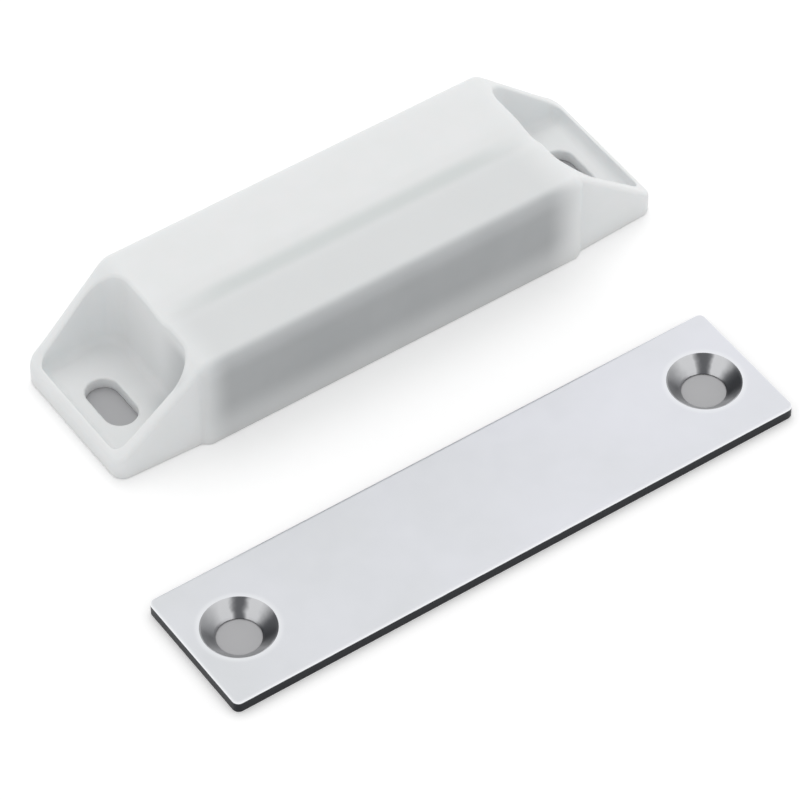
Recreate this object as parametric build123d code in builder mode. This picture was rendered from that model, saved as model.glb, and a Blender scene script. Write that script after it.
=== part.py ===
from build123d import *
import os

# Magnetic cabinet catch: a moulded housing that holds a ferrite magnet between two
# steel pole plates, and the strike plate that goes on the door. Millimetres, +Z up.
# The origin is the middle of the housing's mounting face. X runs along the housing,
# and -Y is the pulling face, towards the strike plate.

# ---- driving dimensions: housing ----
block_length = 43.8          # the raised block that holds the magnet
block_depth = 18.4
block_height = 10.8
housing_length = 63.5        # over the tips of both wings
tip_height = 2.2             # height of the rim at a wing's tip
root_step = 0.55             # how far the block's pulling face stands proud of a wing
tip_front_inset = 1.0        # from the pulling face back to the wing's front at its tip
tip_back_inset = 0.8
tip_corner_radius = 1.4
root_blend_radius = 12.0     # plan blend from the straight block into the tapered wing
ridge_radius = 1.0           # where the block's top turns down into a wing's rim
top_front_radius = 1.1
slab_length = 44.4
slab_depth = 3.0
slab_corner_radius = 1.2
rim_radius = 0.6

# ---- shallow valley along the top, over the rib behind the magnet bay ----
valley_y = -0.9
valley_depth = 0.4
valley_back_width = 2.9
valley_front_width = 1.6
valley_radius = 1.5

# ---- wing recess and its screw slot ----
wing_floor = 1.4
lip_thickness = 0.8
web_thickness = 1.3          # of the two side webs, at the floor
recess_root_x = 22.1         # foot of the recess's end wall
recess_root_radius = 2.8
recess_tip_radius = 1.1
recess_floor_radius = 1.0
recess_rim_radius = 0.3
recess_draft = 1.5           # degrees
slot_x = 27.2
slot_width = 3.5
slot_length = 6.6            # end to end, across the housing

# ---- hollow underside ----
front_wall = 0.8             # thin wall in front of the pole plates
top_wall = 1.0
bay_half_length = 20.3
bay_back_y = -1.5            # back of the magnet bay
rib_thickness = 1.8          # the rib under the valley, which parts the two bays
rear_wall = 1.2
rear_bay_height = 9.4
bay_corner_radius = 0.8
lug_length = 6.0
lug_reach = 0.6
lug_height = 1.0
lug_xs = (-12.0, 12.0)

# ---- magnet pack ----
pole_length = 40.4
pole_thickness = 1.2
magnet_length = 40.0
magnet_height = 4.0
magnet_setback = 0.4         # the magnet's faces lie this far behind the poles' edges
pole_back_gap = 0.2          # clearance to the rib
pole_corner_radius = 0.4

# ---- strike plate ----
plate_length = 64.5
plate_width = 15.0
plate_thickness = 1.5
plate_corner_radius = 0.8
plate_edge_break = 0.15
plate_hole_spacing = 54.0
plate_hole_radius = 2.2
plate_sink_radius = 3.6
plate_sink_angle = 90.0
plate_x = -5.7               # middle of the plate, which lies in front of the housing
plate_gap = 13.8             # from the pulling face to the plate

# ---- worked out ----
half_block = block_length / 2
half_housing = housing_length / 2
front_y = -block_depth / 2
back_y = block_depth / 2
bay_top = block_height - top_wall
bay_front_y = front_y + front_wall
rear_bay_front_y = bay_back_y + rib_thickness
rear_bay_back_y = back_y - rear_wall
pack_height = magnet_height + 2 * pole_thickness
pack_bottom = bay_top - pack_height
pole_back_y = bay_back_y - pole_back_gap
pole_depth = pole_back_y - bay_front_y
pole_middle_y = (pole_back_y + bay_front_y) / 2
plate_y = front_y - plate_gap - plate_width / 2
web_front_y = front_y + root_step
tip_front_y = front_y + tip_front_inset
tip_back_y = back_y - tip_back_inset
recess_tip_x = half_housing - lip_thickness
recess_half_depth = tip_back_y - web_thickness

os.makedirs("parts", exist_ok=True)

# ---- front of the block: a slab with rounded corners, moulded in one with the housing ----
with BuildPart() as front_slab:
    with BuildSketch(Plane.XY) as slab_plan:
        with Locations((0, front_y)):
            Rectangle(slab_length, slab_depth, align=(Align.CENTER, Align.MIN))
        fillet(slab_plan.vertices().group_by(Axis.Y)[0], radius=slab_corner_radius)
    extrude(amount=block_height)
    slab_top_edges = front_slab.faces().sort_by(Axis.Z)[-1].edges()
    fillet(slab_top_edges.sort_by(Axis.Y)[:-1], radius=top_front_radius)

# ---- housing ----
with BuildPart() as housing:
    # Side profile: level over the block, sloping down to each wing's tip.
    with BuildSketch(Plane.XZ) as side_profile:
        with BuildLine():
            Polyline(
                (-half_housing, 0),
                (-half_housing, tip_height),
                (-half_block, block_height),
                (half_block, block_height),
                (half_housing, tip_height),
                (half_housing, 0),
                close=True,
            )
        make_face()
        ridge_corners = side_profile.vertices().group_by(Axis.Y)[-1]
        fillet(ridge_corners, radius=ridge_radius)
    extrude(amount=block_depth, both=True)

    # Plan: straight over the block, with wings that narrow to their tips.
    with BuildSketch(Plane.XY) as plan:
        with BuildLine():
            Polyline(
                (-half_block, web_front_y),
                (half_block, web_front_y),
                (half_housing, tip_front_y),
                (half_housing, tip_back_y),
                (half_block, back_y),
                (-half_block, back_y),
                (-half_housing, tip_back_y),
                (-half_housing, tip_front_y),
                close=True,
            )
        make_face()
        fillet(plan.vertices().filter_by(lambda v: abs(v.X) > half_block + 1), radius=tip_corner_radius)
        fillet(plan.vertices().filter_by(lambda v: abs(v.X) < half_block + 1), radius=root_blend_radius)
    extrude(amount=block_height, mode=Mode.INTERSECT)

    # The rounded rim runs right round: back edge, slopes, tips and front edge.
    outline_edges = housing.edges().filter_by(
        lambda edge: edge.center().Z > tip_height - 0.1
        and abs(edge.tangent_at(0.5).Z) < 0.99
        and (abs(edge.center().Y) > recess_half_depth or abs(edge.center().X) > half_housing - 0.1)
    )
    fillet(outline_edges, radius=rim_radius)

    # The block's front stands proud of the wings.
    add(front_slab.part)

    # Shallow valley along the top.
    with BuildSketch(Plane.YZ.offset(-half_housing)) as valley_profile:
        with BuildLine():
            Polyline(
                (valley_y - valley_front_width, block_height),
                (valley_y, block_height - valley_depth),
                (valley_y + valley_back_width, block_height),
                (valley_y, block_height + valley_depth),
                close=True,
            )
        make_face()
        fillet(valley_profile.vertices().sort_by(Axis.Y)[0], radius=valley_radius)
    extrude(amount=housing_length, mode=Mode.SUBTRACT)

    # Wing recesses: open at the top, with a rounded foot round a flat floor.
    with BuildSketch(Plane.XY.offset(wing_floor)) as recess_plan:
        with BuildLine():
            Polyline(
                (recess_root_x, web_front_y + web_thickness),
                (recess_tip_x, tip_front_y + web_thickness),
                (recess_tip_x, tip_back_y - web_thickness),
                (recess_root_x, back_y - web_thickness),
                close=True,
            )
        make_face()
        fillet(recess_plan.vertices().group_by(Axis.X)[0], radius=recess_root_radius)
        fillet(recess_plan.vertices().group_by(Axis.X)[-1], radius=recess_tip_radius)
        mirror(about=Plane.YZ)
    extrude(amount=block_height, taper=-recess_draft, mode=Mode.SUBTRACT)
    recess_rim_edges = housing.edges(Select.LAST).filter_by(
        lambda edge: edge.center().Z > wing_floor + 0.1 and abs(edge.tangent_at(0.5).Z) < 0.95
    )
    fillet(recess_rim_edges, radius=recess_rim_radius)
    recess_foot_edges = housing.edges().filter_by_position(Axis.Z, wing_floor, wing_floor)
    fillet(recess_foot_edges, radius=recess_floor_radius)

    # Screw slots across the wing floors.
    with BuildSketch(Plane.XY) as slots:
        with Locations((-slot_x, 0), (slot_x, 0)):
            SlotOverall(slot_length, slot_width, rotation=90)
    extrude(amount=wing_floor, mode=Mode.SUBTRACT)

    # Hollow underside: the magnet bay at the front and a lighter bay behind its rib.
    with BuildSketch(Plane.XY) as magnet_bay:
        with Locations((0, bay_front_y)):
            Rectangle(2 * bay_half_length, bay_back_y - bay_front_y, align=(Align.CENTER, Align.MIN))
    extrude(amount=bay_top, mode=Mode.SUBTRACT)
    with BuildSketch(Plane.XY) as rear_bay:
        with Locations((0, rear_bay_front_y)):
            Rectangle(
                2 * bay_half_length,
                rear_bay_back_y - rear_bay_front_y,
                align=(Align.CENTER, Align.MIN),
            )
        fillet(rear_bay.vertices(), radius=bay_corner_radius)
    extrude(amount=rear_bay_height, mode=Mode.SUBTRACT)

    # Snap lugs under the magnet pack, on the front wall and on the rib.
    with BuildSketch(*[Plane.YZ.offset(x - lug_length / 2) for x in lug_xs]) as lugs:
        with BuildLine():
            Polyline(
                (bay_front_y, pack_bottom),
                (bay_front_y + lug_reach, pack_bottom),
                (bay_front_y, pack_bottom - lug_height),
                close=True,
            )
        make_face()
        with BuildLine():
            Polyline(
                (bay_back_y, pack_bottom),
                (bay_back_y - lug_reach, pack_bottom),
                (bay_back_y, pack_bottom - lug_height),
                close=True,
            )
        make_face()
    extrude(amount=lug_length)

# ---- magnet pack: pole plates above and below the magnet ----
with BuildPart() as upper_pole_plate:
    with BuildSketch(Plane.XY.offset(bay_top - pole_thickness)) as upper_pole_plan:
        with Locations((0, pole_middle_y)):
            Rectangle(pole_length, pole_depth)
        fillet(upper_pole_plan.vertices(), radius=pole_corner_radius)
    extrude(amount=pole_thickness)

with BuildPart() as lower_pole_plate:
    with BuildSketch(Plane.XY.offset(pack_bottom)) as lower_pole_plan:
        with Locations((0, pole_middle_y)):
            Rectangle(pole_length, pole_depth)
        fillet(lower_pole_plan.vertices(), radius=pole_corner_radius)
    extrude(amount=pole_thickness)

with BuildPart() as magnet_block:
    with BuildSketch(Plane.XY.offset(pack_bottom + pole_thickness)) as magnet_plan:
        with Locations((0, pole_middle_y)):
            Rectangle(magnet_length, pole_depth - 2 * magnet_setback)
        fillet(magnet_plan.vertices(), radius=pole_corner_radius)
    extrude(amount=magnet_height)

# ---- strike plate: sheared steel strip, two holes sunk for flat-head screws ----
with BuildPart() as strike_plate:
    with BuildSketch(Plane.XY) as plate_plan:
        with Locations((plate_x, plate_y)):
            RectangleRounded(plate_length, plate_width, radius=plate_corner_radius)
    extrude(amount=plate_thickness)
    plate_top_edges = strike_plate.faces().sort_by(Axis.Z)[-1].edges()
    chamfer(plate_top_edges, length=plate_edge_break)
    with Locations(Plane.XY.offset(plate_thickness)):
        with Locations(
            (plate_x - plate_hole_spacing / 2, plate_y),
            (plate_x + plate_hole_spacing / 2, plate_y),
        ):
            CounterSinkHole(
                radius=plate_hole_radius,
                counter_sink_radius=plate_sink_radius,
                counter_sink_angle=plate_sink_angle,
            )

housing.part.label = "housing"
upper_pole_plate.part.label = "upper_pole_plate"
lower_pole_plate.part.label = "lower_pole_plate"
magnet_block.part.label = "magnet_block"
strike_plate.part.label = "strike_plate"

export_step(housing.part, "parts/housing.step")
export_step(upper_pole_plate.part, "parts/upper_pole_plate.step")
export_step(lower_pole_plate.part, "parts/lower_pole_plate.step")
export_step(magnet_block.part, "parts/magnet_block.step")
export_step(strike_plate.part, "parts/strike_plate.step")
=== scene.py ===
"""Looks of a magnetic cabinet catch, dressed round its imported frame.

The catch has two loose parts. A moulded housing of natural white plastic holds a ferrite magnet between two
steel pole plates, behind a thin front wall that lets them show as a grey zone. A flat strike plate of
zinc-plated steel goes on the door. Sizes in the classes are millimetres, and Skin turns them into metres.
Each shape is a function of two parameters on a grid: columns that run round a plan outline, and rows that
carry a profile inwards, up or down from it.
"""

import logging
import math
from collections.abc import Callable
from dataclasses import dataclass, field
from enum import Enum

import bmesh
import bpy
import numpy as np
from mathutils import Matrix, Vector
from mathutils.geometry import tessellate_polygon

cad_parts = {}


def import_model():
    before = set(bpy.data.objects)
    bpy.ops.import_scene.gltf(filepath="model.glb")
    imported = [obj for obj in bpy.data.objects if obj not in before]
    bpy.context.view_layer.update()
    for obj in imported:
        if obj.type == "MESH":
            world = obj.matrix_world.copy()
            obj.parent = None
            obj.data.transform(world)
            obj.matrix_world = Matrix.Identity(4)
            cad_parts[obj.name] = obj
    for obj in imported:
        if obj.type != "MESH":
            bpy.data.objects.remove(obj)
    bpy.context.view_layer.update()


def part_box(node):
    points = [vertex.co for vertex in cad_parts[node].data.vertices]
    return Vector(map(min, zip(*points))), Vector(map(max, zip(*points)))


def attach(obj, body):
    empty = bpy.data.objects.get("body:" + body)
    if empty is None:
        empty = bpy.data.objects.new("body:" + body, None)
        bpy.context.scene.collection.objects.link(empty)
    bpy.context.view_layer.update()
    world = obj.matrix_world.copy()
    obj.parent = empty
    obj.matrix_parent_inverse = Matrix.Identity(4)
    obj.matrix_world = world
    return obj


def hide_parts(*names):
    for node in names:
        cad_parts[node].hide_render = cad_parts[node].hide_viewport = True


LOG = logging.getLogger("magnetic_catch")
MM = 0.001
TURN = 2 * math.pi
QUARTER = TURN / 4

Pair = tuple[float, float]
Triple = tuple[float, float, float]
Box = tuple[np.ndarray, np.ndarray]
Corners = list[Triple]
Colour = tuple[float, float, float, float]
Socket = bpy.types.NodeSocket


class Surface(Enum):
    """Material slots of the strike plate, in the order of its mesh's slots."""

    FACE = 0
    CUT_EDGE = 1
    SINK = 2


# ---- outlines ----


@dataclass(frozen=True)
class Outline:
    """A line of points in the plan, with the outward normal at each.

    Args:
        points: (n, 2) places, counter-clockwise.
        normals: (n, 2) unit normals, to the right of the way the line runs.
        closed: whether the last point joins the first.
    """

    points: np.ndarray
    normals: np.ndarray
    closed: bool

    @staticmethod
    def rounded(corners: Corners, closed: bool, step: float = 0.02) -> "Outline":
        """Straight runs joined by circular arcs.

        An arc of radius r in a corner of angle a starts r / tan(a / 2) from the corner, and its centre lies
        r / sin(a / 2) from the corner on the bisector.

        Args:
            corners: x, y and radius of each corner, counter-clockwise. The ends of an open line stay sharp.
            closed: whether the last corner joins the first.
            step: spacing of the points.

        Returns:
            The outline, evenly and densely spaced.
        """
        pieces: list[np.ndarray] = []
        for i, (x, y, radius) in enumerate(corners):
            here = np.array((x, y), float)
            if radius <= 0 or (not closed and i in (0, len(corners) - 1)):
                pieces.append(here[None])
                continue
            back = np.array(corners[i - 1][:2]) - here
            ahead = np.array(corners[(i + 1) % len(corners)][:2]) - here
            back /= np.linalg.norm(back)
            ahead /= np.linalg.norm(ahead)
            angle = math.acos(float(np.clip(back @ ahead, -1, 1)))
            sweep = math.pi - angle
            centre = here + (back + ahead) / np.linalg.norm(back + ahead) * radius / math.sin(angle / 2)
            start = here + back * radius / math.tan(angle / 2) - centre
            stop = here + ahead * radius / math.tan(angle / 2) - centre
            s = np.linspace(0, 1, max(8, int(radius * sweep / step)))[:, None]
            swung = np.sin((1 - s) * sweep) * start + np.sin(s * sweep) * stop
            pieces.append(centre + swung / math.sin(sweep))
        line = np.concatenate(pieces + ([pieces[0][:1]] if closed else []))
        line = line[np.concatenate(([True], np.linalg.norm(np.diff(line, axis=0), axis=1) > 1e-9))]
        along = np.concatenate(([0.0], np.cumsum(np.linalg.norm(np.diff(line, axis=0), axis=1))))
        s = np.linspace(0, along[-1], int(along[-1] / step) + 1)
        points = np.stack([np.interp(s, along, line[:, k]) for k in range(2)], axis=1)
        if closed:
            points = points[:-1]
            tangent = np.roll(points, -1, axis=0) - np.roll(points, 1, axis=0)
        else:
            tangent = np.gradient(points, axis=0)
        tangent /= np.linalg.norm(tangent, axis=1, keepdims=True)
        return Outline(points, np.stack((tangent[:, 1], -tangent[:, 0]), axis=1), closed)

    @staticmethod
    def block(x: Pair, y: Pair, radius: float) -> "Outline":
        """A rectangle with rounded corners.

        Args:
            x: where it starts and ends along x.
            y: where it starts and ends along y.
            radius: radius of its corners.

        Returns:
            The outline, evenly and densely spaced.
        """
        around = ((0, 0), (1, 0), (1, 1), (0, 1))
        return Outline.rounded([(x[i], y[j], radius) for i, j in around], closed=True)

    def at_angles(self, centre: Pair, angles: np.ndarray) -> "Outline":
        """The points of a closed outline that lie at given angles round a centre inside it.

        Args:
            centre: x and y of the centre.
            angles: radians.

        Returns:
            An outline with one point for each angle.
        """
        rel = self.points - np.array(centre)
        own = np.arctan2(rel[:, 1], rel[:, 0])
        values = np.hstack((self.points, self.normals))
        picked = np.stack([np.interp(angles, own, column, period=TURN) for column in values.T], axis=1)
        normals = picked[:, 2:] / np.linalg.norm(picked[:, 2:], axis=1, keepdims=True)
        return Outline(picked[:, :2], normals, True)

    def spread(self, coarse: float, fine: float, also: np.ndarray | None = None) -> "Outline":
        """Points spaced closely round bends and widely along straight runs.

        They are even steps of the integral of 1 / spacing along the line.

        Args:
            coarse: spacing along straight runs.
            fine: spacing round bends.
            also: share from 0 to 1, for each dense point, of fine spacing wanted for another reason.

        Returns:
            The outline, with both ends kept if it is open.
        """
        bends = (np.linalg.norm(np.gradient(self.normals, axis=0), axis=1) > 1e-4).astype(float)
        if also is not None:
            bends = np.maximum(bends, also)
        window = np.hanning(63)[1:-1]
        ends = "wrap" if self.closed else "edge"
        bends = np.convolve(np.pad(bends, len(window) // 2, mode=ends), window / window.sum(), mode="valid")
        density = bends / fine + (1 - bends) / coarse
        values = np.hstack((self.points, self.normals))
        if self.closed:
            values, density = np.vstack((values, values[:1])), np.append(density, density[0])
        gaps = np.linalg.norm(np.diff(values[:, :2], axis=0), axis=1)
        weight = np.concatenate(([0.0], np.cumsum(gaps * (density[1:] + density[:-1]) / 2)))
        wanted = np.linspace(0, weight[-1], max(4, round(weight[-1])) + 1)
        picked = np.stack([np.interp(wanted, weight, column) for column in values.T], axis=1)
        picked = picked[:-1] if self.closed else picked
        normals = picked[:, 2:] / np.linalg.norm(picked[:, 2:], axis=1, keepdims=True)
        return Outline(picked[:, :2], normals, self.closed)

    def moved(self, by: float | np.ndarray) -> np.ndarray:
        """Places moved out along the normals by a distance, or in where it is negative."""
        return self.points + self.normals * np.reshape(by, (-1, 1))


@dataclass(frozen=True)
class EndPlan:
    """Columns of the right half of a long plan whose end zone goes round a centre.

    Args:
        outline: columns on the outer outline, from the middle's front, round the end, to its back.
        first: index of the column on the cut line's front end.
        last: index of the column on the cut line's back end.
        cut_x: where the cut line parts the end zone from the middle.
        centre: the end zone's centre.
    """

    outline: Outline
    first: int
    last: int
    cut_x: float
    centre: Pair

    @staticmethod
    def build(
        corners: Corners,
        cut_x: float,
        centre: Pair,
        steps: Triple,
        fine_x: float = math.inf,
    ) -> "EndPlan":
        """Spreads columns along the outline, with more of them where it bends.

        Args:
            corners: x, y and radius of each corner, from the middle's front to its back.
            cut_x: where the end zone starts.
            centre: the end zone's centre.
            steps: column spacing along the middle, in the end zone, and round bends.
            fine_x: a place along x that also gets fine columns.

        Returns:
            The plan's columns.
        """
        front_y, back_y = corners[0][1], corners[-1][1]
        dense = Outline.rounded([(cut_x, front_y, 0), *corners[1:-1], (cut_x, back_y, 0)], closed=False)
        near = (np.abs(dense.points[:, 0] - fine_x) < 0.9).astype(float)
        end = dense.spread(steps[1], steps[2], near)
        count = max(2, round(cut_x / steps[0]))
        x = np.linspace(0, cut_x, count + 1)[:-1, None]
        front = np.hstack((x, np.full_like(x, front_y), 0 * x, 0 * x - 1))
        back = np.hstack((x[::-1], np.full_like(x, back_y), 0 * x, 0 * x + 1))
        both = np.concatenate((front, np.hstack((end.points, end.normals)), back))
        outline = Outline(both[:, :2], both[:, 2:], False)
        return EndPlan(outline, count, count + len(end.points) - 1, cut_x, centre)

    def cut_line(self, front_inset: float, back_inset: float, shares: np.ndarray) -> np.ndarray:
        """Points across the cut line from its back to its front, without its two ends.

        Args:
            front_inset: distance of the front end from the outline.
            back_inset: distance of the back end from the outline.
            shares: shares of the way from front to back, rising, both ends included.

        Returns:
            (n, 2) points.
        """
        low = self.outline.points[self.first, 1] + front_inset
        high = self.outline.points[self.last, 1] - back_inset
        y = (low + (high - low) * shares[1:-1])[::-1]
        return np.stack((np.full_like(y, self.cut_x), y), axis=1)

    def end_columns(self, places: np.ndarray, cut: np.ndarray) -> np.ndarray:
        """The end zone's closed round of columns: those on the outline and then those on the cut line."""
        return np.concatenate((places[self.first : self.last + 1], cut))

    def middle(self, rim: np.ndarray, shares: np.ndarray) -> list[np.ndarray]:
        """Rows of places along the middle, from a rim's front line to its back one.

        Args:
            rim: (n, 3) points of the rim, one for each column.
            shares: shares of the way from front to back, rising, both ends included.

        Returns:
            (m, 2) places for each share.
        """
        front = rim[: self.first + 1, :2]
        depth = np.column_stack((0 * front[:, 0], rim[self.last, 1] - front[:, 1]))
        return [front + depth * share for share in shares]

    def angles(self, columns: np.ndarray) -> np.ndarray:
        """Angle of each column round the centre."""
        rel = columns - np.array(self.centre)
        return np.arctan2(rel[:, 1], rel[:, 0])


# ---- meshes ----


class Skin:
    """Collects grids and flat faces of one moulded or cut piece, and closes them into a single mesh."""

    def __init__(self) -> None:
        """Starts with nothing."""
        self.blocks: list[tuple[np.ndarray, np.ndarray, int]] = []

    def grid(self, rows: list[np.ndarray], closed: bool, slot: int = 0) -> None:
        """Adds the quads between neighbouring rows of equal length.

        Args:
            rows: (n, 3) points for each row.
            closed: whether each row's last point joins its first.
            slot: material slot of the faces.
        """
        block = np.stack(rows)
        height, width = block.shape[:2]
        index = np.arange(height * width).reshape(height, width)
        if closed:
            index = np.hstack((index, index[:, :1]))
        quads = np.stack((index[:-1, :-1], index[:-1, 1:], index[1:, 1:], index[1:, :-1]), axis=-1)
        self.blocks.append((block.reshape(-1, 3), quads.reshape(-1, 4), slot))

    def flat(self, loops: list[np.ndarray], slot: int = 0) -> None:
        """Fills a level outline that may have holes.

        Args:
            loops: (n, 3) points of the outline and then of each hole.
            slot: material slot of the faces.
        """
        triangles = np.array(tessellate_polygon([[Vector(p) for p in loop] for loop in loops]))
        self.blocks.append((np.concatenate(loops), np.hstack((triangles, triangles[:, 2:])), slot))

    def mirror(self) -> None:
        """Adds the same again on the other side of x = 0."""
        self.blocks += [(points * (-1, 1, 1), faces[:, ::-1], slot) for points, faces, slot in self.blocks]

    def build(self, name: str, offset: Triple = (0, 0, 0)) -> bpy.types.Object:
        """Merges shared points, turns the faces outwards, and shades the mesh smooth.

        Args:
            name: the object's name.
            offset: millimetres added to every point.

        Returns:
            The object, linked to the scene.
        """
        starts = np.cumsum([0] + [len(points) for points, _, _ in self.blocks])
        points = np.concatenate([points for points, _, _ in self.blocks])
        faces = np.concatenate([faces + start for (_, faces, _), start in zip(self.blocks, starts)])
        slots = np.concatenate([np.full(len(faces), slot) for _, faces, slot in self.blocks])
        _, keep, inverse = np.unique(np.round(points / 2e-4), axis=0, return_index=True, return_inverse=True)
        shapes = [list(dict.fromkeys(face)) for face in inverse.reshape(-1)[faces].tolist()]
        solid = [i for i, shape in enumerate(shapes) if len(shape) > 2]
        mesh = bpy.data.meshes.new(name)
        mesh.from_pydata(((points[keep] + offset) * MM).tolist(), [], [shapes[i] for i in solid])
        mesh.polygons.foreach_set("material_index", slots[solid].astype(np.int32))
        work = bmesh.new()
        work.from_mesh(mesh)
        bmesh.ops.recalc_face_normals(work, faces=work.faces)
        open_edges = sum(not edge.is_manifold for edge in work.edges)
        work.to_mesh(mesh)
        work.free()
        weigh_normals(mesh)
        piece = bpy.data.objects.new(name, mesh)
        bpy.context.scene.collection.objects.link(piece)
        LOG.info("%s: %d points, %d faces, %d open edges", name, len(keep), len(solid), open_edges)
        return piece


def weigh_normals(mesh: bpy.types.Mesh) -> None:
    """Gives each point the sum of its faces' normals times their areas, so that flats stay flat by fillets.

    Args:
        mesh: the mesh, whose faces already point outwards.
    """
    mesh.polygons.foreach_set("use_smooth", np.ones(len(mesh.polygons), bool))
    normals = np.zeros(len(mesh.polygons) * 3)
    areas = np.zeros(len(mesh.polygons))
    totals = np.zeros(len(mesh.polygons), np.int32)
    corners = np.zeros(len(mesh.loops), np.int32)
    mesh.polygons.foreach_get("normal", normals)
    mesh.polygons.foreach_get("area", areas)
    mesh.polygons.foreach_get("loop_total", totals)
    mesh.loops.foreach_get("vertex_index", corners)
    pull = np.repeat(normals.reshape(-1, 3) * areas[:, None], totals, axis=0)
    summed = np.zeros((len(mesh.vertices), 3))
    np.add.at(summed, corners, pull)
    summed /= np.maximum(np.linalg.norm(summed, axis=1, keepdims=True), 1e-20)
    mesh.normals_split_custom_set_from_vertices(summed.tolist())


def level(places: np.ndarray, z: float | np.ndarray) -> np.ndarray:
    """Plan places lifted to a height, or to one height for each."""
    return np.column_stack((places, np.broadcast_to(z, len(places))))


def ease(low: float, high: float, value: np.ndarray) -> np.ndarray:
    """Goes smoothly from 0 at low to 1 at high, as 3t^2 - 2t^3."""
    t = np.clip((value - low) / (high - low), 0, 1)
    return t * t * (3 - 2 * t)


def quarter(count: int) -> list[Pair]:
    """Falls of 1 - sin a and rises of 1 - cos a, for angles a from 0 to a quarter turn."""
    return [(1 - math.sin(a), 1 - math.cos(a)) for a in np.linspace(0, QUARTER, count + 1)]


# ---- finishes ----


class Wiring:
    """A small hand for adding and linking nodes in one tree."""

    def __init__(self, tree: bpy.types.NodeTree) -> None:
        """Takes the tree and its Object coordinates.

        Args:
            tree: the tree that gets the nodes.
        """
        self.tree = tree
        self.place = tree.nodes.new("ShaderNodeTexCoord").outputs["Object"]

    def put(self, value: object, socket: Socket) -> None:
        """Links an output into a socket, or sets the socket's own value."""
        if isinstance(value, bpy.types.NodeSocket):
            self.tree.links.new(value, socket)
        else:
            socket.default_value = value

    def math(self, operation: str, *values: object) -> Socket:
        """One Math node's output."""
        node = self.tree.nodes.new("ShaderNodeMath")
        node.operation = operation
        for socket, value in zip(node.inputs, values):
            self.put(value, socket)
        return node.outputs[0]

    def times(self, *values: object) -> Socket:
        """The product of several values."""
        product = values[0]
        for value in values[1:]:
            product = self.math("MULTIPLY", product, value)
        return product

    def axes(self) -> tuple[Socket, Socket, Socket]:
        """The three Object coordinates in millimetres."""
        scale = self.tree.nodes.new("ShaderNodeVectorMath")
        scale.operation = "SCALE"
        scale.inputs["Scale"].default_value = 1 / MM
        self.put(self.place, scale.inputs[0])
        parts = self.tree.nodes.new("ShaderNodeSeparateXYZ")
        self.put(scale.outputs[0], parts.inputs[0])
        return parts.outputs[0], parts.outputs[1], parts.outputs[2]

    def ramp(self, value: object, low: float, high: float, start: float = 0.0, stop: float = 1.0) -> Socket:
        """Eases from start, where the value is low, to stop, where it is high."""
        node = self.tree.nodes.new("ShaderNodeMapRange")
        node.interpolation_type = "SMOOTHSTEP"
        names = ("Value", "From Min", "From Max", "To Min", "To Max")
        for name, number in zip(names, (value, low, high, start, stop)):
            self.put(number, node.inputs[name])
        return node.outputs[0]

    def fade(self, value: object, low: float, high: float, start: float = 1.0) -> Socket:
        """Eases from start, where the value is low, to nothing, where it is high."""
        return self.ramp(value, low, high, start, 0.0)

    def beyond(self, value: Socket, low: float, high: float) -> Socket:
        """How far a value lies outside a span, and less than 0 inside it."""
        off = self.math("ABSOLUTE", self.math("SUBTRACT", value, float(low + high) / 2))
        return self.math("SUBTRACT", off, float(high - low) / 2)

    def noise(self, per_mm: float, detail: float = 2.0, stretch: Triple = (1, 1, 1)) -> Socket:
        """Noise with so many lumps to the millimetre, drawn out along each axis by the stretch."""
        mapping = self.tree.nodes.new("ShaderNodeMapping")
        self.put(self.place, mapping.inputs["Vector"])
        mapping.inputs["Scale"].default_value = [1 / s for s in stretch]
        node = self.tree.nodes.new("ShaderNodeTexNoise")
        self.put(mapping.outputs[0], node.inputs["Vector"])
        node.inputs["Scale"].default_value = per_mm / MM
        node.inputs["Detail"].default_value = detail
        return node.outputs[0]

    def mix(self, share: object, first: object, second: object) -> Socket:
        """A colour between two, by share."""
        node = self.tree.nodes.new("ShaderNodeMix")
        node.data_type = "RGBA"
        self.put(share, node.inputs[0])
        self.put(first, node.inputs[6])
        self.put(second, node.inputs[7])
        return node.outputs[2]

    def bump(self, height: object, depth: float, strength: float, below: object = None) -> Socket:
        """A bump of that depth in millimetres, laid over another where one is given."""
        node = self.tree.nodes.new("ShaderNodeBump")
        node.inputs["Strength"].default_value = strength
        node.inputs["Distance"].default_value = depth * MM
        self.put(height, node.inputs["Height"])
        if below is not None:
            self.put(below, node.inputs["Normal"])
        return node.outputs[0]

    def seen(self) -> Socket:
        """1 for rays from the camera, straight or by reflection or through glass, and 0 for all others."""
        rays = self.tree.nodes.new("ShaderNodeLightPath").outputs
        through = self.math("MAXIMUM", rays["Is Glossy Ray"], rays["Is Transmission Ray"])
        return self.math("MAXIMUM", rays["Is Camera Ray"], through)


class Nodes(Wiring):
    """The wiring of one new material."""

    def __init__(self, name: str) -> None:
        """Makes the material, with its shader.

        Args:
            name: the material's name.
        """
        self.material = bpy.data.materials.new(name)
        self.material.use_nodes = True
        super().__init__(self.material.node_tree)
        self.shader = self.tree.nodes["Principled BSDF"]

    def finish(self, **sockets: object) -> bpy.types.Material:
        """Sets or links the shader's sockets, named with underscores for spaces."""
        for name, value in sockets.items():
            self.put(value, self.shader.inputs[name.replace("_", " ")])
        return self.material


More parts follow.
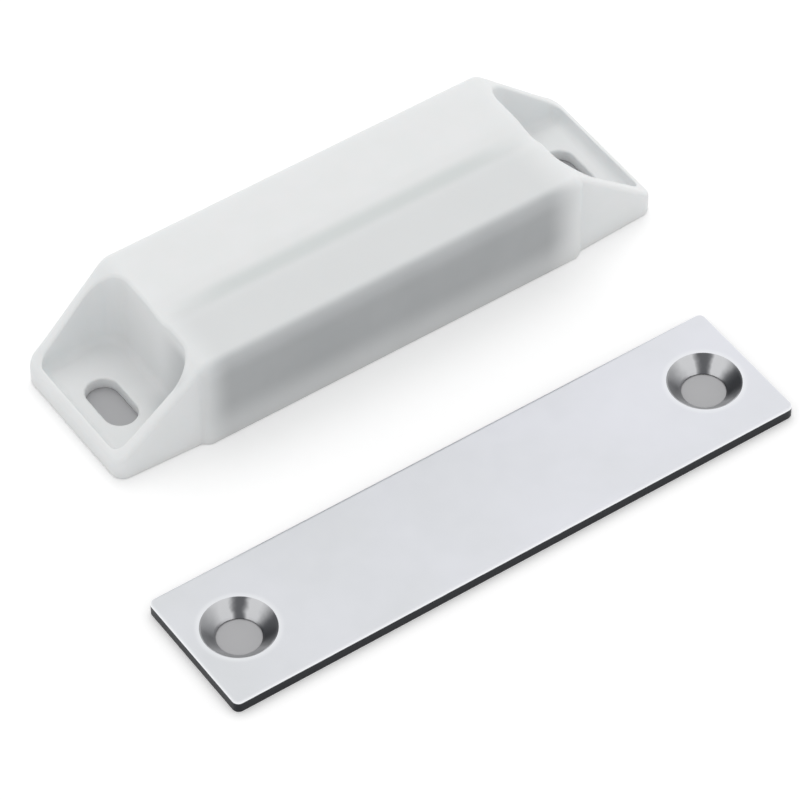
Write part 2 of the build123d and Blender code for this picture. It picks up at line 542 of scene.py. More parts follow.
@dataclass(frozen=True)
class MouldedPlastic:
    """Natural white plastic that lets the pack behind its thin walls show through as grey.

    Args:
        pack_low: lowest corner of the magnet pack, in millimetres.
        pack_high: highest corner of the magnet pack.
        front_y: the front wall's outer face.
        top_z: the top wall's outer face.
        valley_y: the line of the groove along the top.
        white: colour of the thick plastic.
        veiled: colour of the front wall over the magnet.
        covered: colour of the top wall over the upper pole plate.
        shaded: colour of the painted shade along the groove in the top wall.
        shift: how far the veil lies towards -X.
        ends: where the veil starts and stops fading, outwards from the pack's ends.
        depth: where it starts and stops fading, inwards from the front face.
        foot: its strength at the base.
        head: its strength at the top.
        groove: strength of the painted shade along the groove.
        end_wall: strength of the grey in the recesses' end walls.
    """

    pack_low: np.ndarray
    pack_high: np.ndarray
    front_y: float
    top_z: float
    valley_y: float
    white: Colour = (0.83, 0.842, 0.848, 1)
    veiled: Colour = (0.415, 0.43, 0.438, 1)
    covered: Colour = (0.725, 0.742, 0.747, 1)
    shaded: Colour = (0.645, 0.68, 0.675, 1)
    shift: float = 0.7
    ends: Pair = (-1.9, 2.5)
    depth: Pair = (0.25, 1.3)
    foot: float = 0.48
    head: float = 0.7
    groove: float = 0.85
    end_wall: float = 0.62

    def material(self) -> bpy.types.Material:
        """Wires the plastic.

        Each tint is a product of eased bands. The veil lies within the pack's length, near the front face,
        and is strongest at the magnet's height. The cover lies over the upper pole plate, and milky clouds
        vary both. The groove gets painted shade along its middle, and the pack's end shows in the end walls.
        """
        n = Nodes("moulded_plastic")
        x, y, z = n.axes()
        span = n.math("ABSOLUTE", x)
        half, low, high = float(self.pack_high[0]), float(self.pack_low[2]), float(self.pack_high[2])
        cloud = n.ramp(n.noise(0.16), 0.25, 0.75, 0.93, 1.0)
        faded = tuple(c * s for c, s in zip(self.white, (0.985, 0.99, 0.985, 1)))
        colour = n.mix(n.ramp(n.noise(0.35, 3.0), 0.3, 0.7), self.white, faded)

        shifted = n.math("ABSOLUTE", n.math("ADD", x, self.shift))
        along = n.fade(shifted, half + self.ends[0], half + self.ends[1])
        roof = n.ramp(z, self.top_z - 1.2, self.top_z - 0.3)
        rear = n.fade(y, self.valley_y - 0.9, self.valley_y + 0.6)
        colour = n.mix(n.times(along, roof, rear, cloud), colour, self.covered)

        # Painted shade along the groove: the top is darkened in a band either side of the valley's line.
        beside = n.math("ABSOLUTE", n.math("SUBTRACT", y, self.valley_y))
        groove = n.times(n.fade(beside, 0.2, 1.6, self.groove), roof, n.fade(span, 13.0, 22.5))
        colour = n.mix(groove, colour, self.shaded)

        recess = n.times(n.ramp(span, half + 1.0, half + 1.5), n.fade(span, 23.0, 25.4))
        within = n.times(n.ramp(y, self.front_y + 0.9, self.front_y + 1.7), n.fade(y, -6.0, -0.5))
        colour = n.mix(n.times(recess, n.fade(z, 8.0, 10.0), within, self.end_wall), colour, self.veiled)

        front = n.fade(y, self.front_y + self.depth[0], self.front_y + self.depth[1])
        foot = n.ramp(z, 0.6, low + 1.6, self.foot, 1.0)
        head = n.ramp(z, high - 1.6, self.top_z, 1.0, self.head)
        colour = n.mix(n.times(along, front, foot, head, cloud), colour, self.veiled)

        waves = n.bump(n.noise(0.12, 1.0), 0.05, 0.35)
        grain = n.bump(n.noise(7.0), 0.012, 0.25, waves)
        n.shader.subsurface_method = "RANDOM_WALK"
        return n.finish(
            Base_Color=colour,
            Roughness=0.42,
            IOR=1.5,
            Subsurface_Weight=0.35,
            Subsurface_Radius=(1.6, 1.8, 1.9),
            Subsurface_Scale=MM,
            Normal=grain,
        )


@dataclass(frozen=True)
class HolePair:
    """Where the plate's two screw holes are.

    Args:
        centre: middle of the plate, in millimetres.
        spacing: distance between the two holes.
    """

    centre: Pair
    spacing: float

    def polar(self, n: Nodes, x: Socket, y: Socket) -> tuple[Socket, Socket]:
        """Distance from the nearer hole's axis, and the angle round it."""
        along = n.math("SUBTRACT", x, self.centre[0])
        across = n.math("SUBTRACT", along, n.math("MULTIPLY", n.math("SIGN", along), self.spacing / 2))
        up = n.math("SUBTRACT", y, self.centre[1])
        reach = n.math("SQRT", n.math("ADD", n.times(across, across), n.times(up, up)))
        return reach, n.math("ARCTAN2", up, across)


@dataclass(frozen=True)
class ZincPlating:
    """Bright zinc plating over rolled steel, satin, with faint lines along the strip.

    Args:
        holes: where the screw holes are.
        top: height of the face, in millimetres.
        mouth: radius of the sinks' mouths.
        dull_and_shaded: colour of the plating at the strip's left end, darker there by painted shade.
        bright: its colour at the right end, lighter there by painted light. Random clouds also mix the two.
        painted_highlight: colour of the painted highlight along the rolled edge and round the sinks' mouths.
        highlight_strength: strength of the painted highlight along the edge; round the mouths it is half as
            strong.
    """

    holes: HolePair
    top: float
    mouth: float
    dull_and_shaded: Colour = (0.70, 0.715, 0.735, 1)
    bright: Colour = (0.77, 0.78, 0.825, 1)
    painted_highlight: Colour = (0.90, 0.91, 0.93, 1)
    highlight_strength: float = 0.9

    def material(self) -> bpy.types.Material:
        """Wires the plating: cloudy colour lightened towards the right end by painted light, painted
        highlights along the rolled edge and round the sinks' mouths, rolling lines and spangle.
        """
        n = Nodes("zinc_plating")
        x, y, z = n.axes()
        middle, reach = self.holes.centre[0], self.holes.polar(n, x, y)[0]
        # Painted light: the plating is lighter towards the right end, mixed with its own random clouds.
        along = n.ramp(x, middle - 34.0, middle + 20.0)
        cloud = n.ramp(n.noise(0.09, 3.0), 0.3, 0.7)
        share = n.math("MULTIPLY_ADD", cloud, 0.4, n.math("MULTIPLY", along, 0.6))
        colour = n.mix(share, self.dull_and_shaded, self.bright)
        # Painted highlights: the rolled edge, and a ring round each sink's mouth at half strength, are
        # lightened.
        rounded = n.ramp(z, self.top - 0.7, self.top - 0.4)
        edge = n.times(n.fade(z, self.top - 0.2, self.top - 0.01, self.highlight_strength), rounded)
        halo = n.fade(reach, self.mouth + 0.2, self.mouth + 0.75, self.highlight_strength / 2)
        colour = n.mix(n.math("MAXIMUM", edge, halo), colour, self.painted_highlight)
        lines = n.bump(n.noise(4.0, 3.0, (12, 1, 1)), 0.006, 0.2)
        spangle = n.bump(n.noise(1.6), 0.01, 0.15, lines)
        rough = n.ramp(n.noise(0.5, 3.0), 0.2, 0.8, 0.36, 0.46)
        return n.finish(Base_Color=colour, Metallic=1.0, Roughness=rough, Normal=spangle)


@dataclass(frozen=True)
class ShearedEdge:
    """The strip's sheared edge: fractured steel, darkened to near black as painted shade, below a short
    bright band.

    Args:
        torn_top: height where the torn part ends, in millimetres.
        torn_and_shaded: colour of the fractured part, near black: its own grey steel darkened by painted
            shade.
        burnished: colour of the band above it.
    """

    torn_top: float
    torn_and_shaded: Colour = (0.032, 0.034, 0.038, 1)
    burnished: Colour = (0.5, 0.51, 0.54, 1)

    def material(self) -> bpy.types.Material:
        """Wires the edge: the bright band eases in above the torn part, broken up along the edge."""
        n = Nodes("sheared_edge")
        ragged = n.math("MULTIPLY_ADD", n.noise(1.3), 0.25, n.axes()[2])
        band = n.ramp(ragged, self.torn_top + 0.05, self.torn_top + 0.25)
        tears = n.bump(n.noise(3.0, 3.0, (1, 1, 6)), 0.03, 0.5)
        # Painted shade: the fractured part is near black, much darker than its own grey steel.
        colour = n.mix(band, self.torn_and_shaded, self.burnished)
        return n.finish(Base_Color=colour, Metallic=1.0, Roughness=0.42, Normal=tears)


@dataclass(frozen=True)
class TurnedSink:
    """A screw sink left by the countersink's cutter, with painted dark reflections as streaks that run down
    the cone, and fine rings.

    Args:
        holes: where the screw holes are.
        light: colour of the bare cone.
        dark: colour of the darkest painted reflection.
        streaks: middle and half width of each painted dark reflection, as angles round the hole in degrees,
            and its strength.
        wander: how far noise bends the streaks, in radians.
    """

    holes: HolePair
    light: Colour = (0.60, 0.605, 0.62, 1)
    dark: Colour = (0.045, 0.047, 0.053, 1)
    streaks: tuple[Triple, ...] = (
        (55.0, 19.0, 0.88),
        (-30.0, 50.0, 0.93),
        (148.0, 56.0, 0.5),
        (-118.0, 50.0, 0.25),
    )
    wander: float = 0.3

    def material(self) -> bpy.types.Material:
        """Wires the sink, with streaks of painted dark reflection on the cone.

        Each streak eases in on the cosine of the angle from its middle, between the cosine of its half width
        and 1. The rings are a sine of the distance from the axis.
        """
        n = Nodes("turned_sink")
        x, y, _ = n.axes()
        reach, angle = self.holes.polar(n, x, y)
        bent = n.math("MULTIPLY_ADD", n.noise(0.8), self.wander, angle)
        # Painted dark reflections: each streak darkens the cone towards the dark colour.
        shade: object = 0.0
        for middle, half, strength in self.streaks:
            wave = n.math("COSINE", n.math("SUBTRACT", bent, math.radians(middle) + self.wander / 2))
            shade = n.math("MAXIMUM", shade, n.ramp(wave, math.cos(math.radians(half)), 1.0, 0.0, strength))
        colour = n.mix(shade, self.light, self.dark)
        rings = n.bump(n.math("SINE", n.math("MULTIPLY", reach, 40.0)), 0.004, 0.3)
        return n.finish(Base_Color=colour, Metallic=1.0, Roughness=0.3, Normal=rings)


@dataclass(frozen=True)
class GrainyFinish:
    """A grainy finish for the pack's pieces, which are seen only through the open underside.

    Args:
        name: the material's name.
        first: one of its two colours.
        second: the other.
        metallic: 1 for metal and 0 for ferrite.
        roughness: its roughness.
        lumps: lumps of colour to the millimetre.
    """

    name: str
    first: Colour
    second: Colour
    metallic: float
    roughness: float
    lumps: float

    def material(self) -> bpy.types.Material:
        """Wires a two-colour cloud and a fine bump."""
        n = Nodes(self.name)
        colour = n.mix(n.ramp(n.noise(self.lumps, 4.0), 0.35, 0.65), self.first, self.second)
        grain = n.bump(n.noise(self.lumps * 6, 3.0), 0.02, 0.4)
        return n.finish(Base_Color=colour, Metallic=self.metallic, Roughness=self.roughness, Normal=grain)


# ---- pieces ----


def install(piece: bpy.types.Object, node: str, slot: str, materials: list[bpy.types.Material]) -> None:
    """Dresses a piece and puts it in the place of its solid.

    Args:
        piece: the piece.
        node: the solid that it stands for.
        slot: the record's material slot; not used.
        materials: one for each slot of its mesh.
    """
    for material in materials:
        piece.data.materials.append(material)
    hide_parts(node)
    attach(piece, "root")


@dataclass
class Housing:
    """The moulded housing: a block between two wings that slope down to their tips.

    Args:
        low: lowest corner of the solid housing, in millimetres.
        high: highest corner of the solid housing.
        pack_low: lowest corner of the magnet pack.
        pack_high: highest corner of the magnet pack.
    """

    low: np.ndarray
    high: np.ndarray
    pack_low: np.ndarray
    pack_high: np.ndarray
    half_block: float = 21.9
    tip_height: float = 2.2
    root_step: float = 0.57
    tip_front_inset: float = 1.0
    tip_back_inset: float = 0.8
    tip_radius: float = 1.4
    ridge_softness: float = 0.55
    front_roll: float = 1.15
    rim_roll: float = 0.62
    tip_roll: float = 0.34
    base_roll: float = 0.22
    valley_y: float = -0.95
    valley_depth: float = 0.42
    valley_front: float = 1.9
    valley_back: float = 3.1
    floor: float = 1.4
    web: float = 1.3
    root_x: float = 22.1
    root_radius: float = 2.8
    lip: float = 0.8
    recess_tip_radius: float = 1.15
    recess_foot: float = 0.95
    recess_rim: float = 0.3
    lean: float = math.tan(math.radians(1.5))
    slot_x: float = 27.2
    slot_width: float = 3.5
    slot_length: float = 6.6
    slot_roll: float = 0.22
    cut_x: float = 20.9
    bay_half: float = 20.3
    bay_back: float = -1.5
    rib: float = 1.8
    rear_wall: float = 1.2
    front_wall: float = 0.8
    top_wall: float = 1.0
    rear_height: float = 9.4
    lug_length: float = 6.0
    lug_reach: float = 0.6
    lug_height: float = 1.0
    lug_x: float = 12.0
    block_corner: float = 1.2
    root_corner: float = 0.35
    back_bend: float = 12.0
    valley_ends: Pair = (23.5, 21.5)
    bay_corner: float = 0.3
    rear_corner: float = 0.8
    bay_foot: float = 0.25
    steps: Triple = (0.9, 0.55, 0.2)
    plan: EndPlan = field(init=False)

    def __post_init__(self) -> None:
        """Works out the plan's columns from the outline."""
        front, back, half = self.low[1], self.high[1], self.high[0]
        corners = [
            (0, front, 0),
            (self.half_block - 0.1, front, self.block_corner),
            (self.half_block + 0.5, front + self.root_step, self.root_corner),
            (half, front + self.tip_front_inset, self.tip_radius),
            (half, back - self.tip_back_inset, self.tip_radius),
            (self.half_block, back, self.back_bend),
            (0, back, 0),
        ]
        centre = (self.slot_x, 0.0)
        self.plan = EndPlan.build(corners, self.cut_x, centre, self.steps, fine_x=self.half_block)

    def top(self, places: np.ndarray) -> np.ndarray:
        """Height of the top over plan places.

        The lower of the level top and the wings' slope, blended as min(a, b) - max(k - |a - b|, 0)^2 / 4k,
        less a valley along the block that is a raised cosine on each side of its line.
        """
        x, y = np.abs(places[:, 0]), places[:, 1]
        fall = (self.high[2] - self.tip_height) / (self.high[0] - self.half_block)
        slope = self.tip_height + fall * (self.high[0] - x)
        k = self.ridge_softness
        gap = np.maximum(k - np.abs(slope - self.high[2]), 0)
        height = np.minimum(slope, self.high[2]) - gap * gap / (4 * k)
        side = np.where(y > self.valley_y, self.valley_back, self.valley_front)
        u = np.clip((y - self.valley_y) / side, -1, 1)
        return height - self.valley_depth * 0.5 * (1 + np.cos(np.pi * u)) * ease(*self.valley_ends, x)

    def roll(self) -> np.ndarray:
        """Radius of the top outer edge at each column: largest along the block's front, least at a tip."""
        x, y = self.plan.outline.points.T
        block = ease(self.half_block + 0.8, self.half_block - 0.6, x)
        tip = ease(self.high[0] - 2.6, self.high[0] - 0.4, x)
        rim = self.rim_roll + (self.tip_roll - self.rim_roll) * tip
        return rim + np.where(y < 0, self.front_roll - self.rim_roll, 0.12) * block

    def outer_rows(self) -> list[np.ndarray]:
        """Rows up the outside: base edge, wall, and top edge in to where the top starts."""
        outline, roll, base = self.plan.outline, self.roll(), self.base_roll
        rows = [level(outline.moved(-base * fall), base * rise) for fall, rise in quarter(3)]
        wall_top = self.top(outline.points) - roll
        for share in np.linspace(0, 1, 11)[1:-1]:
            rows.append(level(outline.points, base + (wall_top - base) * share))
        for fall, rise in quarter(7):
            places = outline.moved(-roll * rise)
            rows.append(level(places, self.top(places) - roll * fall))
        return rows

    def recess_rows(self, angles: np.ndarray) -> list[np.ndarray]:
        """Rows of a wing's recess: rim, drafted wall, rounded foot, floor, and the slot down to the base.

        Args:
            angles: angle of each column round the slot.

        Returns:
            Rows from the rim's outer line to the slot's lower edge.
        """
        tip_x = self.high[0] - self.lip
        corners = [
            (self.root_x, self.low[1] + self.root_step + self.web, self.root_radius),
            (tip_x, self.low[1] + self.tip_front_inset + self.web, self.recess_tip_radius),
            (tip_x, self.high[1] - self.tip_back_inset - self.web, self.recess_tip_radius),
            (self.root_x, self.high[1] - self.web, self.root_radius),
        ]
        wall = Outline.rounded(corners, closed=True).at_angles(self.plan.centre, angles)
        edge = wall.moved((self.top(wall.points) - self.floor) * self.lean)
        drift = (self.top(edge) - self.floor) * self.lean
        rows = []
        for fall, rise in quarter(4):
            places = wall.moved(drift + self.recess_rim * fall)
            rows.append(level(places, self.top(places) - self.recess_rim * rise))
        upper, lower = rows[-1][:, 2], self.floor + self.recess_foot
        for share in np.linspace(0, 1, 9)[1:-1]:
            z = upper + (lower - upper) * share
            rows.append(level(wall.moved((z - self.floor) * self.lean), z))
        for fall, rise in quarter(5):
            z = self.recess_foot * fall
            rows.append(level(wall.moved(z * self.lean - self.recess_foot * rise), self.floor + z))
        return rows + self.slot_rows(rows[-1][:, :2], angles)

    def slot_rows(self, foot: np.ndarray, angles: np.ndarray) -> list[np.ndarray]:
        """Rows over the wing's floor and down the screw slot.

        Args:
            foot: places where the floor starts.
            angles: angle of each column round the slot.

        Returns:
            Rows from the floor's first inner line to the slot's lower edge.
        """
        half_x, half_y = self.slot_width / 2, self.slot_length / 2
        across = (self.slot_x - half_x, self.slot_x + half_x)
        slot = Outline.block(across, (-half_y, half_y), half_x - 1e-3).at_angles(self.plan.centre, angles)
        lip = slot.moved(self.slot_roll)
        rows = [level(foot + (lip - foot) * share, self.floor) for share in (0.3, 0.65)]
        for fall, rise in quarter(3):
            rows.append(level(slot.moved(self.slot_roll * fall), self.floor - self.slot_roll * rise))
        rows.append(level(slot.points, self.floor / 2))
        edge = self.base_roll / 2
        return rows + [level(slot.moved(edge * rise), edge * fall) for fall, rise in quarter(2)]

    def bay(self, skin: Skin, front: float, back: float, depth: float, corner: float) -> np.ndarray:
        """A bay up into the underside: rounded mouth, wall, and a ceiling with a rounded foot.

        Args:
            skin: the mesh that gets it.
            front: the bay's front wall.
            back: the bay's back wall.
            depth: height of the ceiling.
            corner: radius of its upright corners.

        Returns:
            The mouth's line on the base.
        """
        loop = Outline.block((-self.bay_half, self.bay_half), (front, back), corner).spread(1.5, 0.15)
        mouth, foot = self.base_roll * 0.8, self.bay_foot
        rows = [level(loop.moved(mouth * fall), mouth * rise) for fall, rise in quarter(2)]
        for share in (0.33, 0.66):
            rows.append(level(loop.points, mouth + (depth - foot - mouth) * share))
        rows += [level(loop.moved(-foot * rise), depth - foot * fall) for fall, rise in quarter(3)]
        skin.grid(rows, closed=True)
        skin.flat([rows[-1]])
        return rows[0]

    def lugs(self, skin: Skin) -> None:
        """Snap lugs under the pack, each a wedge that grows out of the bay's front wall or the rib."""
        bottom, reach, drop = float(self.pack_low[2]), self.lug_reach, self.lug_height
        profile = ((-0.1, 0.0), (reach - 0.08, 0.0), (reach, -0.08), (-0.1, -drop - 0.15))
        for wall, way in ((self.low[1] + self.front_wall, 1.0), (self.bay_back, -1.0)):
            for middle in (-self.lug_x, self.lug_x):
                ends = [
                    np.array([(x, wall + way * out, bottom + up) for out, up in profile])
                    for x in (middle - self.lug_length / 2, middle + self.lug_length / 2)
                ]
                skin.grid(ends, closed=True)
                for end in ends:
                    skin.blocks.append((end, np.array([[0, 1, 2, 3]]), 0))

    def shares(self) -> np.ndarray:
        """Shares across the block's top from front to back, closer together in the valley."""
        low, high = self.low[1] + self.front_roll, self.high[1] - self.rim_roll
        y = np.linspace(low, high, 400)
        near = np.exp(-(((y - self.valley_y - 0.5) / 2.2) ** 2))
        weight = np.concatenate(([0.0], np.cumsum((1.4 + 2.6 * near)[1:] * np.diff(y))))
        wanted = np.linspace(0, weight[-1], round(weight[-1]) + 1)
        return (np.interp(wanted, weight, y) - low) / (high - low)

    def build(self) -> bpy.types.Object:
        """Joins the outside, the wings' recesses, the block's top, the base and the bays."""
        skin, plan, roll, shares = Skin(), self.plan, self.roll(), self.shares()
        outer = self.outer_rows()
        skin.grid(outer, closed=False)

        ring = plan.end_columns(outer[-1][:, :2], plan.cut_line(roll[plan.first], roll[plan.last], shares))
        recess = self.recess_rows(plan.angles(ring))
        rim = recess[0][:, :2]
        tops = [ring + (rim - ring) * share for share in np.linspace(0, 1, 5)]
        base_cut = plan.cut_line(self.base_roll, self.base_roll, shares)
        base_ring = plan.end_columns(outer[0][:, :2], base_cut)
        edge = recess[-1][:, :2]
        soles = [level(edge + (base_ring - edge) * share, 0.0) for share in np.linspace(0, 1, 5)[1:]]
        skin.grid([level(places, self.top(places)) for places in tops] + recess[1:] + soles, closed=True)

        lines = plan.middle(outer[-1], shares)
        skin.grid([level(places, self.top(places)) for places in lines], closed=False)
        skin.mirror()

        front, back = outer[0][: plan.first + 1], outer[0][plan.last :]
        half = np.concatenate((front, level(base_cut[::-1], 0.0), back))
        base = np.concatenate((half, (half * (-1, 1, 1))[-2:0:-1]))
        front_y, rear_y = self.low[1] + self.front_wall, self.bay_back + self.rib
        mouths = [
            self.bay(skin, front_y, self.bay_back, self.high[2] - self.top_wall, self.bay_corner),
            self.bay(skin, rear_y, self.high[1] - self.rear_wall, self.rear_height, self.rear_corner),
        ]
        skin.flat([base, *mouths])
        self.lugs(skin)
        return skin.build("moulded_housing")

    def dress(self, piece: bpy.types.Object) -> None:
        """Gives the housing its plastic, with the pack's place behind its walls."""
        front_y, top_z = float(self.low[1]), float(self.high[2])
        plastic = MouldedPlastic(self.pack_low, self.pack_high, front_y, top_z, self.valley_y)
        install(piece, "housing", "housing_plastic", [plastic.material()])


@dataclass
class StrikePlate:
    """The strike plate: a sheared strip with two holes sunk for flat-head screws.

    Args:
        low: lowest corner of the solid plate, in millimetres.
        high: highest corner of the solid plate.
    """

    low: np.ndarray
    high: np.ndarray
    corner_radius: float = 0.7
    hole_spacing: float = 54.0
    hole_radius: float = 2.2
    sink_radius: float = 3.6
    sink_roll: float = 0.25
    roll_over: float = 0.42
    roll_drop: float = 0.3
    burr_roll: float = 0.08
    zone_half: float = 7.6
    steps: Triple = (1.6, 0.8, 0.12)

    def sink_rows(self, circle: Callable[[float, float], np.ndarray], thick: float) -> list[np.ndarray]:
        """Rows down a screw sink: a rounded mouth that turns an eighth of a turn, then the cone to the hole.

        Args:
            circle: gives the columns' points on a circle of a radius, at a height.
            thick: the plate's thickness.

        Returns:
            Rows from the mouth to the hole.
        """
        mouth = self.sink_radius + self.sink_roll * math.tan(QUARTER / 4)
        rows, radius, z = [], mouth, thick
        for a in np.linspace(0, QUARTER / 2, 4):
            radius = mouth - self.sink_roll * math.sin(a)
            z = thick - self.sink_roll * (1 - math.cos(a))
            rows.append(circle(radius, z))
        for share in np.linspace(0, 1, 7)[1:]:
            drop = (radius - self.hole_radius) * share
            rows.append(circle(radius - drop, z - drop))
        return rows

    def build(self) -> bpy.types.Object:
        """Joins the edges, the faces round each hole, the middle of both faces, and the sinks."""
        half, deep, thick = (self.high - self.low) / (2, 2, 1)
        hole_x = self.hole_spacing / 2
        rounding = self.corner_radius
        corners = [(0, -deep, 0), (half, -deep, rounding), (half, deep, rounding), (0, deep, 0)]
        plan = EndPlan.build(corners, hole_x - self.zone_half, (hole_x, 0.0), self.steps)
        outline, burr, skin = plan.outline, self.burr_roll, Skin()

        under = [level(outline.moved(-burr * fall), burr * rise) for fall, rise in quarter(2)]
        shoulder = thick - self.roll_drop
        wall = [level(outline.points, burr + (shoulder - burr) * share) for share in (0.35, 0.7, 1)]
        rolled = [
            level(outline.moved(-self.roll_over * rise), thick - self.roll_drop * fall)
            for fall, rise in quarter(6)
        ]
        skin.grid(under + wall, closed=False, slot=Surface.CUT_EDGE.value)
        skin.grid(rolled, closed=False, slot=Surface.FACE.value)

        shares = np.linspace(0, 1, 19)
        over = self.roll_over
        top_ring = plan.end_columns(rolled[-1][:, :2], plan.cut_line(over, over, shares))
        base_ring = plan.end_columns(under[0][:, :2], plan.cut_line(burr, burr, shares))
        angles = plan.angles(top_ring)
        away = np.stack((np.cos(angles), np.sin(angles)), axis=1)

        def circle(radius: float, z: float) -> np.ndarray:
            """One point for each column on a circle round the hole."""
            return level(np.array((hole_x, 0.0)) + away * radius, z)

        sink = self.sink_rows(circle, thick)
        near = circle(self.sink_radius + 0.9, thick)[:, :2]
        face = [level(top_ring + (near - top_ring) * share, thick) for share in np.linspace(0, 1, 5)]
        face += [circle(self.sink_radius + 0.4, thick), sink[0]]
        skin.grid(face, closed=True, slot=Surface.FACE.value)
        skin.grid(sink, closed=True, slot=Surface.SINK.value)
        neck = float(sink[-1][0, 2])
        bore = [circle(self.hole_radius + neck * rise, neck * fall) for fall, rise in quarter(2)]
        skin.grid(bore, closed=True, slot=Surface.CUT_EDGE.value)
        edge = bore[-1][:, :2]
        back = [level(edge + (base_ring - edge) * share, 0.0) for share in np.linspace(0, 1, 5)]
        skin.grid(back, closed=True, slot=Surface.FACE.value)

        for rim, z in ((rolled[-1], thick), (under[0], 0.0)):
            skin.grid([level(places, z) for places in plan.middle(rim, shares)], closed=False)
        skin.mirror()
        middle = (self.low + self.high) / 2
        return skin.build("strike_plate_steel", (middle[0], middle[1], self.low[2]))

    def dress(self, piece: bpy.types.Object) -> None:
        """Gives the plate its plating, its sheared edge and its turned sinks."""
        middle = (self.low + self.high) / 2
        holes = HolePair((float(middle[0]), float(middle[1])), self.hole_spacing)
        plating = ZincPlating(holes, float(self.high[2]), self.sink_radius)
        finishes = (plating, ShearedEdge(float(self.high[2] - self.roll_drop)), TurnedSink(holes))
        install(piece, "strike_plate", "strike_steel", [finish.material() for finish in finishes])


@dataclass
class PackPiece:
    """A flat block of the magnet pack, with rounded edges.

    Args:
        node: the solid it stands for.
        slot: the record's material slot.
        material: its look.
        roll: radius of its edges.
        corner: radius of its upright corners.
    """

    node: str
    slot: str
    material: bpy.types.Material
    roll: float
    corner: float

    def build(self) -> bpy.types.Object:
        """Carries a profile with rounded ends up round the block's outline, and closes both ends."""
        (x0, y0, z0), (x1, y1, z1) = corners_mm(self.node)
        loop = Outline.block((x0, x1), (y0, y1), self.corner).spread(1.2, 0.12)
        rows = [level(loop.moved(-self.roll * fall), z0 + self.roll * rise) for fall, rise in quarter(3)]
        rows += [level(loop.moved(-self.roll * rise), z1 - self.roll * fall) for fall, rise in quarter(3)]
        skin = Skin()
        skin.grid(rows, closed=True)
        skin.flat([rows[0]])
        skin.flat([rows[-1]])
        return skin.build(f"{self.node}_piece")

    def dress(self, piece: bpy.types.Object) -> None:
        """Gives the block its finish."""
        install(piece, self.node, self.slot, [self.material])


# ---- studio ----


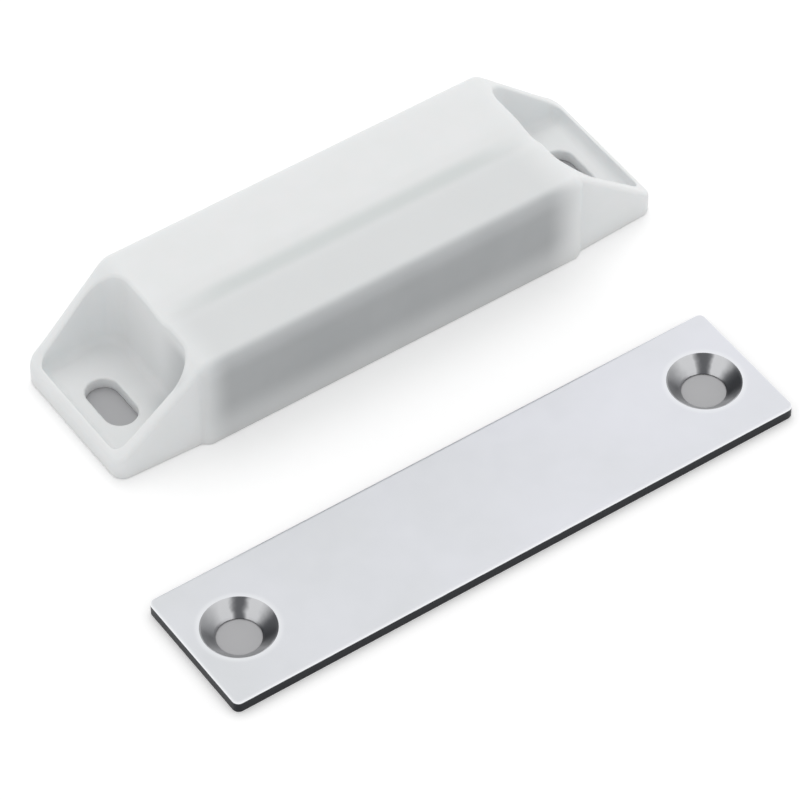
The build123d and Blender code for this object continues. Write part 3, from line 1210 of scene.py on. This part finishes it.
@dataclass
class Studio:
    """A white floor with a painted shadow under the pieces, soft light, and the camera.

    Args:
        eye: the camera's place, in millimetres.
        target: where it looks.
        lens: focal length in millimetres for a 36 mm sensor.
        floor_half: half the floor's side, in metres.
        ambient: strength of the surroundings' light on the object.
        lift: how much the floor is brightened where it is seen.
        paint: the floor's colour.
        under: colour of the painted shadow under the pieces.
        under_edge: where that painted shadow starts and stops fading, from a piece's outline, less than 0
            inside it.
    """

    eye: Triple = (-192.37, -287.09, 369.20)
    target: Triple = (-3.537, -14.65, 0.0)
    lens: float = 230.7
    floor_half: float = 1.6
    ambient: float = 0.78
    lift: float = 0.22
    paint: Colour = (0.9, 0.9, 0.9, 1)
    under: Colour = (0.485, 0.485, 0.495, 1)
    under_edge: Pair = (-2.4, -1.2)

    def floor(self, footprints: list[Box]) -> None:
        """A wide white floor just under the object, lifted to full white where it is seen.

        Under each piece it is grey, a painted shadow, and that shows only through the pieces' screw holes.

        Args:
            footprints: lowest and highest corner of each piece that stands on it, in millimetres.
        """
        h, z = self.floor_half, -0.02 * MM
        mesh = bpy.data.meshes.new("studio_floor")
        mesh.from_pydata([(-h, -h, z), (h, -h, z), (h, h, z), (-h, h, z)], [], [(0, 1, 2, 3)])
        piece = bpy.data.objects.new("studio_floor", mesh)
        bpy.context.scene.collection.objects.link(piece)
        n = Nodes("floor_paint")
        places = n.axes()
        covered: object = 0.0
        # Painted shadow: the floor eases to grey inside each footprint and is not lifted there.
        for low, high in footprints:
            past = [n.beyond(place, a, b) for place, a, b in zip(places, low[:2], high[:2])]
            covered = n.math("MAXIMUM", covered, n.fade(n.math("MAXIMUM", *past), *self.under_edge))
        material = n.finish(
            Base_Color=n.mix(covered, self.paint, self.under),
            Roughness=0.9,
            Specular_IOR_Level=0.1,
            Emission_Color=(1, 1, 1, 1),
            Emission_Strength=n.times(n.seen(), n.math("SUBTRACT", 1.0, covered), self.lift),
        )
        piece.data.materials.append(material)

    def world(self) -> None:
        """Even white surroundings, at full white for the camera's own rays."""
        world = bpy.data.worlds.new("studio_world")
        world.use_nodes = True
        n = Wiring(world.node_tree)
        background = n.tree.nodes["Background"]
        n.put((1, 1, 1, 1), background.inputs["Color"])
        n.put(n.ramp(n.seen(), 0.0, 1.0, self.ambient, 1.0), background.inputs["Strength"])
        bpy.context.scene.world = world

    def lamp(self, name: str, place: Triple, size: float, power: float) -> None:
        """A square soft lamp that faces the middle of the scene.

        Args:
            name: the lamp's name.
            place: its place in metres.
            size: its side in metres.
            power: watts.
        """
        light = bpy.data.lights.new(name, "AREA")
        light.shape = "SQUARE"
        light.size = size
        light.energy = power
        lamp = bpy.data.objects.new(name, light)
        lamp.location = place
        lamp.visible_glossy = False
        lamp.rotation_euler = (-Vector(place)).to_track_quat("-Z", "Y").to_euler()
        bpy.context.scene.collection.objects.link(lamp)

    def camera(self) -> None:
        """The camera, level, with no shift and no depth of field."""
        data = bpy.data.cameras.new("camera")
        data.lens = self.lens
        data.sensor_width = 36.0
        data.clip_start = 0.01
        data.clip_end = 20.0
        camera = bpy.data.objects.new("camera", data)
        eye, target = Vector(self.eye) * MM, Vector(self.target) * MM
        camera.location = eye
        camera.rotation_euler = (target - eye).to_track_quat("-Z", "Y").to_euler()
        bpy.context.scene.collection.objects.link(camera)
        bpy.context.scene.camera = camera

    def build(self, footprints: list[Box]) -> None:
        """Sets up the floor, light, camera and view.

        Args:
            footprints: lowest and highest corner of each piece that stands on the floor, in millimetres.
        """
        self.floor(footprints)
        self.world()
        self.lamp("overhead_lamp", (0.25, 0.35, 0.9), 0.7, 2.2)
        self.camera()
        bpy.context.scene.view_settings.view_transform = "Standard"


def corners_mm(node: str) -> Box:
    """Lowest and highest corner of a solid, in millimetres."""
    low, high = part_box(node)
    return np.array(low) / MM, np.array(high) / MM


def main() -> None:
    """Loads the frame, then builds and dresses each piece in turn."""
    logging.basicConfig(level=logging.INFO, format="%(name)s: %(message)s")
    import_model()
    steel = GrainyFinish("pole_steel", (0.40, 0.40, 0.41, 1), (0.50, 0.50, 0.51, 1), 1.0, 0.45, 0.5)
    ferrite = GrainyFinish("ferrite", (0.045, 0.045, 0.05, 1), (0.075, 0.075, 0.08, 1), 0.0, 0.7, 1.2)
    plate_look, magnet_look = steel.material(), ferrite.material()
    pack_low, pack_high = corners_mm("lower_pole_plate")[0], corners_mm("upper_pole_plate")[1]
    pieces = [
        Housing(*corners_mm("housing"), pack_low, pack_high),
        StrikePlate(*corners_mm("strike_plate")),
        PackPiece("upper_pole_plate", "pole_steel", plate_look, 0.12, 0.4),
        PackPiece("lower_pole_plate", "pole_steel", plate_look, 0.12, 0.4),
        PackPiece("magnet_block", "ferrite", magnet_look, 0.25, 0.5),
    ]
    for piece in pieces:
        piece.dress(piece.build())
    Studio().build([corners_mm("housing"), corners_mm("strike_plate")])


if __name__ == "__main__":
    main()
